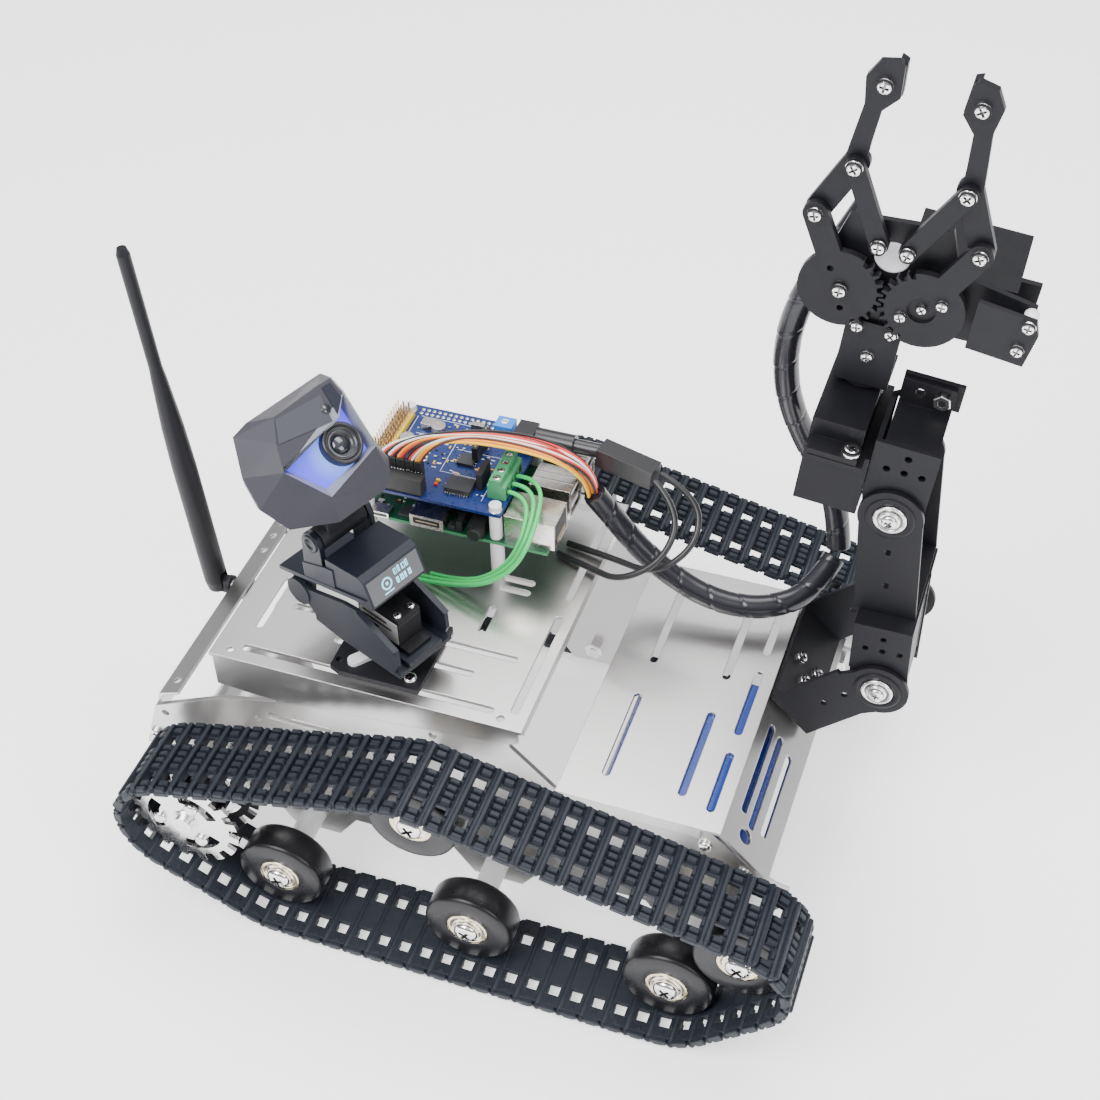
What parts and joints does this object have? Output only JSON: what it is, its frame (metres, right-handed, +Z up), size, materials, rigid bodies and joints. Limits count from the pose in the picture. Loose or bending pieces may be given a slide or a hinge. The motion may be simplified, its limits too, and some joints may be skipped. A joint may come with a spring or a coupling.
{
  "type": "tracked robot chassis",
  "caption": "Tracked robot chassis of slotted steel plates with toothed drive wheels, controller boards, pan-tilt camera head, whip antenna and a jointed arm with a gripper.",
  "frame": {"origin": "centre of the footprint, on the floor", "axes": "+X forward, towards the arm; +Y to the robot's left; +Z up"},
  "size_m": [0.3554, 0.233, 0.3654],
  "materials": {
    "track_rubber": "satin",
    "wheel_black": "satin",
    "bearing_brass": "polished",
    "spacer_nylon": "satin",
    "sprocket_black": "satin black",
    "steel_plate": "satin brushed",
    "motor_metal": "satin",
    "battery_blue": "shrink film",
    "screw_steel": "polished",
    "board_green": "solder mask",
    "board_blue": "solder mask",
    "connector_metal": "tinned",
    "header_black": "moulded",
    "terminal_green": "moulded",
    "plug_black": "moulded",
    "cable_black": "satin",
    "wire_green": "insulation",
    "wire_orange": "insulation",
    "antenna_black": "satin",
    "antenna_brass": "plated",
    "pan_plate_black": "satin",
    "servo_black": "moulded",
    "display_black": "gloss",
    "head_grey": "satin",
    "lens_glass": "gloss",
    "arm_black": "powder coat"
  },
  "bodies": {
    "chassis": {"track_left": "track_rubber", "track_right": "track_rubber", "wheel_bearings": "bearing_brass", "nylon_spacers": "spacer_nylon", "side_plate_left": "steel_plate", "side_plate_right": "steel_plate", "rear_deck": "steel_plate", "front_deck": "steel_plate", "rear_panel": "steel_plate", "drive_motors": "motor_metal", "battery_pack": "battery_blue", "steel_screws": "screw_steel", "computer_board": "board_green", "board_connectors": "connector_metal", "driver_board": "board_blue", "pin_headers": "header_black", "terminal_block": "terminal_green", "power_plug": "plug_black", "power_leads": "cable_black", "motor_wires": "wire_green", "servo_wires": "wire_orange", "harness_deck": "cable_black", "harness_arm": "cable_black", "antenna_socket": "antenna_brass", "pan_base_plate": "pan_plate_black", "arm_base_bracket": "arm_black"},
    "drive_left": {"sprocket_left": "sprocket_black"},
    "drive_right": {"sprocket_right": "sprocket_black"},
    "antenna_joint": {"antenna_knuckle": "antenna_black"},
    "antenna": {"antenna_whip": "antenna_black"},
    "pan_body": {"pan_bracket": "pan_plate_black", "pan_servo": "servo_black"},
    "tilt_frame": {"display_box": "display_black"},
    "head": {"camera_head": "head_grey", "camera_lens": "lens_glass"},
    "upper_arm": {"shoulder_frame": "arm_black", "shoulder_servo": "servo_black", "upper_arm_bracket": "arm_black"},
    "forearm": {"elbow_frame": "arm_black", "elbow_servo": "servo_black", "wrist_frame": "arm_black", "wrist_servo": "servo_black"},
    "gripper": {"gripper_base": "arm_black", "gripper_servo": "servo_black"},
    "jaw_front": {"jaw_gear_front": "arm_black"},
    "jaw_rear": {"jaw_gear_rear": "arm_black"},
    "jaw_link_front": {"link_front": "arm_black"},
    "jaw_link_rear": {"link_rear": "arm_black"},
    "fingertip_front": {"finger_front": "arm_black"},
    "fingertip_rear": {"finger_rear": "arm_black"},
    "rear_wheel_left": {"road_wheel_rear_left": "wheel_black"},
    "mid_wheel_left": {"road_wheel_mid_left": "wheel_black"},
    "front_wheel_left": {"road_wheel_front_left": "wheel_black"},
    "idler_left": {"idler_wheel_left": "wheel_black"},
    "roller_left": {"return_roller_left": "wheel_black"},
    "rear_wheel_right": {"road_wheel_rear_right": "wheel_black"},
    "mid_wheel_right": {"road_wheel_mid_right": "wheel_black"},
    "front_wheel_right": {"road_wheel_front_right": "wheel_black"},
    "idler_right": {"idler_wheel_right": "wheel_black"},
    "roller_right": {"return_roller_right": "wheel_black"}
  },
  "joints": [
    {"name": "drive_spin_left", "type": "hinge", "parent": "chassis", "child": "drive_left", "pos_m": [-0.11934, 0.097, 0.0515], "axis": [0, 1, 0], "continuous": true},
    {"name": "rear_wheel_spin_left", "type": "hinge", "parent": "chassis", "child": "rear_wheel_left", "pos_m": [-0.08084, 0.097, 0.0248], "axis": [0, 1, 0], "continuous": true},
    {"name": "mid_wheel_spin_left", "type": "hinge", "parent": "chassis", "child": "mid_wheel_left", "pos_m": [0.00466, 0.097, 0.0248], "axis": [0, 1, 0], "continuous": true},
    {"name": "front_wheel_spin_left", "type": "hinge", "parent": "chassis", "child": "front_wheel_left", "pos_m": [0.09066, 0.097, 0.0248], "axis": [0, 1, 0], "continuous": true},
    {"name": "idler_spin_left", "type": "hinge", "parent": "chassis", "child": "idler_left", "pos_m": [0.11916, 0.097, 0.054], "axis": [0, 1, 0], "continuous": true},
    {"name": "roller_spin_left", "type": "hinge", "parent": "chassis", "child": "roller_left", "pos_m": [-0.01594, 0.097, 0.086], "axis": [0, 1, 0], "continuous": true},
    {"name": "drive_spin_right", "type": "hinge", "parent": "chassis", "child": "drive_right", "pos_m": [-0.11934, -0.097, 0.0515], "axis": [0, 1, 0], "continuous": true},
    {"name": "rear_wheel_spin_right", "type": "hinge", "parent": "chassis", "child": "rear_wheel_right", "pos_m": [-0.08084, -0.097, 0.0248], "axis": [0, 1, 0], "continuous": true},
    {"name": "mid_wheel_spin_right", "type": "hinge", "parent": "chassis", "child": "mid_wheel_right", "pos_m": [0.00466, -0.097, 0.0248], "axis": [0, 1, 0], "continuous": true},
    {"name": "front_wheel_spin_right", "type": "hinge", "parent": "chassis", "child": "front_wheel_right", "pos_m": [0.09066, -0.097, 0.0248], "axis": [0, 1, 0], "continuous": true},
    {"name": "idler_spin_right", "type": "hinge", "parent": "chassis", "child": "idler_right", "pos_m": [0.11916, -0.097, 0.054], "axis": [0, 1, 0], "continuous": true},
    {"name": "roller_spin_right", "type": "hinge", "parent": "chassis", "child": "roller_right", "pos_m": [-0.01594, -0.097, 0.086], "axis": [0, 1, 0], "continuous": true},
    {"name": "antenna_swivel", "type": "hinge", "parent": "chassis", "child": "antenna_joint", "pos_m": [-0.16224, 0.012, 0.067], "axis": [1, 0, 0], "range_deg": [-60, 60]},
    {"name": "antenna_tilt", "type": "hinge", "parent": "antenna_joint", "child": "antenna", "pos_m": [-0.16224, 0.012, 0.067], "axis": [0, 1, 0], "range_deg": [-86, 0]},
    {"name": "pan", "type": "hinge", "parent": "chassis", "child": "pan_body", "pos_m": [-0.04734, -0.046, 0.123], "axis": [0, 0, 1], "range_deg": [-60, 60]},
    {"name": "head_tilt", "type": "hinge", "parent": "pan_body", "child": "tilt_frame", "pos_m": [-0.07787, -0.03348, 0.142], "axis": [0.3795, 0.9252, 0], "range_deg": [-35, 5]},
    {"name": "camera_hinge", "type": "hinge", "parent": "tilt_frame", "child": "head", "pos_m": [-0.06677, -0.03803, 0.1755], "axis": [0.3795, 0.9252, 0], "range_deg": [-15, 15]},
    {"name": "shoulder", "type": "hinge", "parent": "chassis", "child": "upper_arm", "pos_m": [0.14466, 0.037, 0.1079], "axis": [0, 1, 0], "range_deg": [-30, 60]},
    {"name": "elbow", "type": "hinge", "parent": "upper_arm", "child": "forearm", "pos_m": [0.13856, 0.037, 0.1911], "axis": [0, 1, 0], "range_deg": [-21, 70], "deforming": ["harness_arm"]},
    {"name": "wrist_roll", "type": "hinge", "parent": "forearm", "child": "gripper", "pos_m": [0.12052, 0.05, 0.26338], "axis": [0.1045, 0, 0.9945], "range_deg": [-90, 90]},
    {"name": "jaw_drive", "type": "hinge", "parent": "gripper", "child": "jaw_front", "pos_m": [0.13641, 0.04, 0.27297], "axis": [0, 1, 0], "range_deg": [-18, 15]},
    {"name": "jaw_follow", "type": "hinge", "parent": "gripper", "child": "jaw_rear", "pos_m": [0.10697, 0.04, 0.27607], "axis": [0, 1, 0], "range_deg": [-15, 18]},
    {"name": "link_front_swing", "type": "hinge", "parent": "gripper", "child": "jaw_link_front", "pos_m": [0.12916, 0.036, 0.29586], "axis": [0, 1, 0], "range_deg": [-18, 15]},
    {"name": "link_rear_swing", "type": "hinge", "parent": "gripper", "child": "jaw_link_rear", "pos_m": [0.11882, 0.036, 0.29694], "axis": [0, 1, 0], "range_deg": [-15, 18]},
    {"name": "finger_front_swing", "type": "hinge", "parent": "jaw_front", "child": "fingertip_front", "pos_m": [0.15354, 0.04, 0.29923], "axis": [0, 1, 0], "range_deg": [-15, 18]},
    {"name": "finger_rear_swing", "type": "hinge", "parent": "jaw_rear", "child": "fingertip_rear", "pos_m": [0.09566, 0.04, 0.30531], "axis": [0, 1, 0], "range_deg": [-18, 15]}
  ],
  "couplings": [
    {"joint": "rear_wheel_spin_left", "follows": "drive_spin_left", "ratio": 1.257},
    {"joint": "mid_wheel_spin_left", "follows": "drive_spin_left", "ratio": 1.257},
    {"joint": "front_wheel_spin_left", "follows": "drive_spin_left", "ratio": 1.257},
    {"joint": "idler_spin_left", "follows": "drive_spin_left", "ratio": 1.257},
    {"joint": "roller_spin_left", "follows": "drive_spin_left", "ratio": 1.257},
    {"joint": "rear_wheel_spin_right", "follows": "drive_spin_right", "ratio": 1.257},
    {"joint": "mid_wheel_spin_right", "follows": "drive_spin_right", "ratio": 1.257},
    {"joint": "front_wheel_spin_right", "follows": "drive_spin_right", "ratio": 1.257},
    {"joint": "idler_spin_right", "follows": "drive_spin_right", "ratio": 1.257},
    {"joint": "roller_spin_right", "follows": "drive_spin_right", "ratio": 1.257},
    {"joint": "jaw_follow", "follows": "jaw_drive", "ratio": -1},
    {"joint": "link_front_swing", "follows": "jaw_drive", "ratio": 1},
    {"joint": "link_rear_swing", "follows": "jaw_drive", "ratio": -1},
    {"joint": "finger_front_swing", "follows": "jaw_drive", "ratio": -1},
    {"joint": "finger_rear_swing", "follows": "jaw_drive", "ratio": 1}
  ]
}
